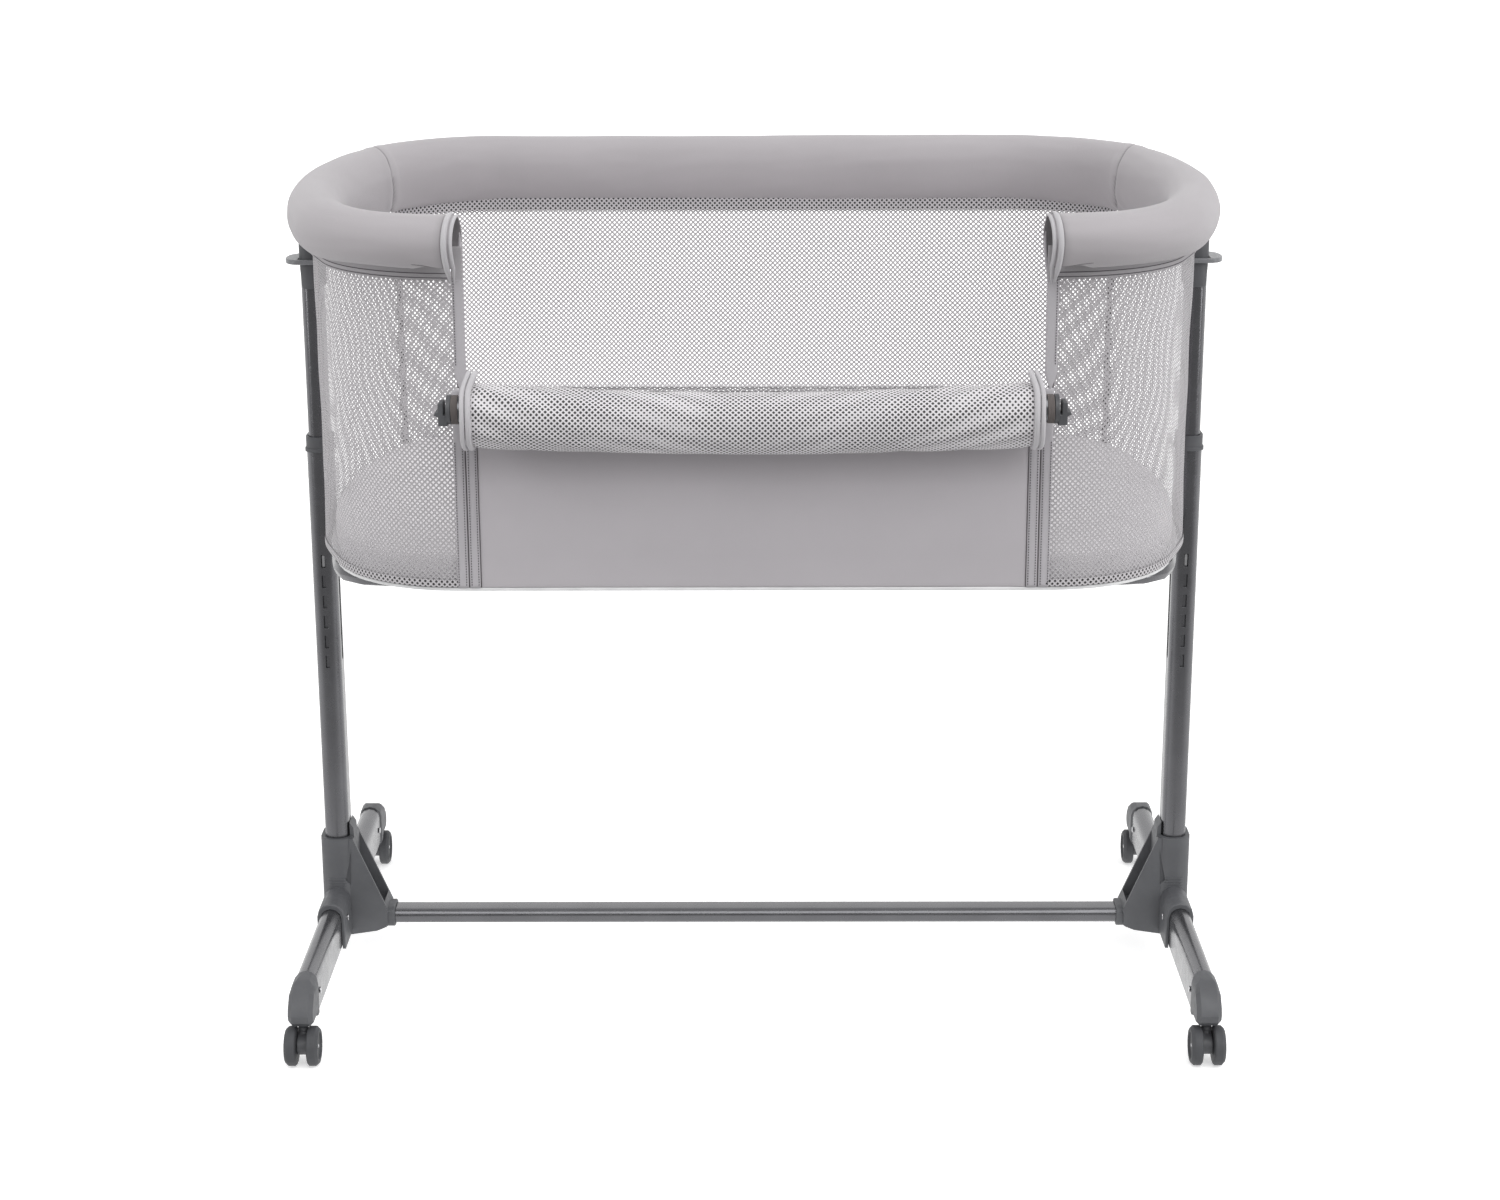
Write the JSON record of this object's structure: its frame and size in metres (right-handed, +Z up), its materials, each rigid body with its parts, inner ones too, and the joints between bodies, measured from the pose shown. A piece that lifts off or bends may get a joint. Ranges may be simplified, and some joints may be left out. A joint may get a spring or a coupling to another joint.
{
  "type": "bassinet on stand",
  "caption": "Bedside bassinet with mesh walls, a padded rim and a drop side, on a height-adjustable post stand with foot tubes and swivel castors.",
  "frame": {"origin": "on the floor, below the middle of the bounding box with the basket at its top height and the drop bar down", "axes": "+X towards the right post seen from the drop side, -Y towards the drop side, +Z up"},
  "size_m": [0.9536, 0.66, 0.858],
  "materials": {
    "coated_metal": "satin anthracite powder coat",
    "dark_plastic": "fine matt anthracite moulding",
    "bright_steel": "bright zinc plate",
    "castor_tread": "matt dark grey",
    "rim_jersey": "fine warm grey jersey",
    "mesh_fabric": "light grey spacer mesh with small holes",
    "panel_fabric": "plain grey woven cloth",
    "tape_webbing": "grey zip tape with stitching",
    "base_panel": "white board",
    "mattress_cover": "white cotton"
  },
  "bodies": {
    "stand": {"cross_bar": "coated_metal", "right_foot_bracket": "dark_plastic", "left_foot_bracket": "dark_plastic", "right_foot_tube": "coated_metal", "left_foot_tube": "coated_metal", "right_lower_post": "coated_metal", "left_lower_post": "coated_metal", "right_post_collar": "dark_plastic", "left_post_collar": "dark_plastic", "right_rear_foot_cap": "dark_plastic", "left_rear_foot_cap": "dark_plastic", "right_front_foot_cap": "dark_plastic", "left_front_foot_cap": "dark_plastic", "right_rear_cap_screw": "bright_steel", "left_rear_cap_screw": "bright_steel", "right_front_cap_screw": "bright_steel", "left_front_cap_screw": "bright_steel", "right_bracket_screw": "bright_steel", "left_bracket_screw": "bright_steel"},
    "bassinet": {"right_upper_post": "coated_metal", "left_upper_post": "coated_metal", "right_post_housing": "dark_plastic", "left_post_housing": "dark_plastic", "rim_frame_tube": "coated_metal", "rim_pad": "rim_jersey", "mesh_wall": "mesh_fabric", "front_panel": "panel_fabric", "right_zip_tape": "tape_webbing", "left_zip_tape": "tape_webbing", "base_board": "base_panel", "mattress": "mattress_cover", "right_base_tube": "coated_metal", "left_base_tube": "coated_metal", "right_base_bolt": "bright_steel", "left_base_bolt": "bright_steel"},
    "drop_bar": {"drop_bar_tube": "coated_metal", "drop_bar_roll": "mesh_fabric", "right_drop_bar_clip": "dark_plastic", "left_drop_bar_clip": "dark_plastic"},
    "left_lever": {"left_height_lever": "dark_plastic"},
    "left_lock": {"left_lock_pin": "bright_steel"},
    "right_lever": {"right_height_lever": "dark_plastic"},
    "right_lock": {"right_lock_pin": "bright_steel"},
    "left_front_castor": {"left_front_castor_fork": "dark_plastic", "left_front_castor_axle": "bright_steel"},
    "left_front_outer_wheel": {"left_front_castor_wheel_outer": "castor_tread"},
    "left_front_inner_wheel": {"left_front_castor_wheel_inner": "castor_tread"},
    "left_rear_castor": {"left_rear_castor_fork": "dark_plastic", "left_rear_castor_axle": "bright_steel"},
    "left_rear_outer_wheel": {"left_rear_castor_wheel_outer": "castor_tread"},
    "left_rear_inner_wheel": {"left_rear_castor_wheel_inner": "castor_tread"},
    "right_front_castor": {"right_front_castor_fork": "dark_plastic", "right_front_castor_axle": "bright_steel"},
    "right_front_outer_wheel": {"right_front_castor_wheel_outer": "castor_tread"},
    "right_front_inner_wheel": {"right_front_castor_wheel_inner": "castor_tread"},
    "right_rear_castor": {"right_rear_castor_fork": "dark_plastic", "right_rear_castor_axle": "bright_steel"},
    "right_rear_outer_wheel": {"right_rear_castor_wheel_outer": "castor_tread"},
    "right_rear_inner_wheel": {"right_rear_castor_wheel_inner": "castor_tread"}
  },
  "joints": [
    {"name": "height_slide", "type": "slide", "parent": "stand", "child": "bassinet", "axis": [0, 0, 1], "range_m": [-0.11, 0]},
    {"name": "drop_bar_slide", "type": "slide", "parent": "bassinet", "child": "drop_bar", "axis": [0, 0.1925, 0.9813], "range_m": [0, 0.161]},
    {"name": "left_lever_rock", "type": "hinge", "parent": "bassinet", "child": "left_lever", "pos_m": [-0.4475, 0.018, 0.7674], "axis": [0, 1, 0], "range_deg": [0, 12], "stiffness_Nm_per_rad": 0.6},
    {"name": "left_lock_slide", "type": "slide", "parent": "bassinet", "child": "left_lock", "axis": [0, 1, 0], "range_m": [0, 0.006]},
    {"name": "right_lever_rock", "type": "hinge", "parent": "bassinet", "child": "right_lever", "pos_m": [0.4475, 0.018, 0.7674], "axis": [0, -1, 0], "range_deg": [0, 12], "stiffness_Nm_per_rad": 0.6},
    {"name": "right_lock_slide", "type": "slide", "parent": "bassinet", "child": "right_lock", "axis": [0, 1, 0], "range_m": [0, 0.006]},
    {"name": "left_front_castor_swivel", "type": "hinge", "parent": "stand", "child": "left_front_castor", "pos_m": [-0.452, -0.2465, 0.0377], "axis": [0, 0, 1], "continuous": true},
    {"name": "left_front_outer_wheel_spin", "type": "hinge", "parent": "left_front_castor", "child": "left_front_outer_wheel", "pos_m": [-0.452, -0.2545, 0.01975], "axis": [1, 0, 0], "continuous": true},
    {"name": "left_front_inner_wheel_spin", "type": "hinge", "parent": "left_front_castor", "child": "left_front_inner_wheel", "pos_m": [-0.452, -0.2545, 0.01975], "axis": [1, 0, 0], "continuous": true},
    {"name": "left_rear_castor_swivel", "type": "hinge", "parent": "stand", "child": "left_rear_castor", "pos_m": [-0.452, 0.2825, 0.0377], "axis": [0, 0, 1], "continuous": true},
    {"name": "left_rear_outer_wheel_spin", "type": "hinge", "parent": "left_rear_castor", "child": "left_rear_outer_wheel", "pos_m": [-0.452, 0.2905, 0.01975], "axis": [1, 0, 0], "continuous": true},
    {"name": "left_rear_inner_wheel_spin", "type": "hinge", "parent": "left_rear_castor", "child": "left_rear_inner_wheel", "pos_m": [-0.452, 0.2905, 0.01975], "axis": [1, 0, 0], "continuous": true},
    {"name": "right_front_castor_swivel", "type": "hinge", "parent": "stand", "child": "right_front_castor", "pos_m": [0.452, -0.2465, 0.0377], "axis": [0, 0, 1], "continuous": true},
    {"name": "right_front_outer_wheel_spin", "type": "hinge", "parent": "right_front_castor", "child": "right_front_outer_wheel", "pos_m": [0.452, -0.2545, 0.01975], "axis": [1, 0, 0], "continuous": true},
    {"name": "right_front_inner_wheel_spin", "type": "hinge", "parent": "right_front_castor", "child": "right_front_inner_wheel", "pos_m": [0.452, -0.2545, 0.01975], "axis": [1, 0, 0], "continuous": true},
    {"name": "right_rear_castor_swivel", "type": "hinge", "parent": "stand", "child": "right_rear_castor", "pos_m": [0.452, 0.2825, 0.0377], "axis": [0, 0, 1], "continuous": true},
    {"name": "right_rear_outer_wheel_spin", "type": "hinge", "parent": "right_rear_castor", "child": "right_rear_outer_wheel", "pos_m": [0.452, 0.2905, 0.01975], "axis": [1, 0, 0], "continuous": true},
    {"name": "right_rear_inner_wheel_spin", "type": "hinge", "parent": "right_rear_castor", "child": "right_rear_inner_wheel", "pos_m": [0.452, 0.2905, 0.01975], "axis": [1, 0, 0], "continuous": true}
  ],
  "couplings": [
    {"joint": "left_lock_slide", "follows": "left_lever_rock", "m_per_rad": 0.0286},
    {"joint": "right_lock_slide", "follows": "right_lever_rock", "m_per_rad": 0.0286}
  ]
}
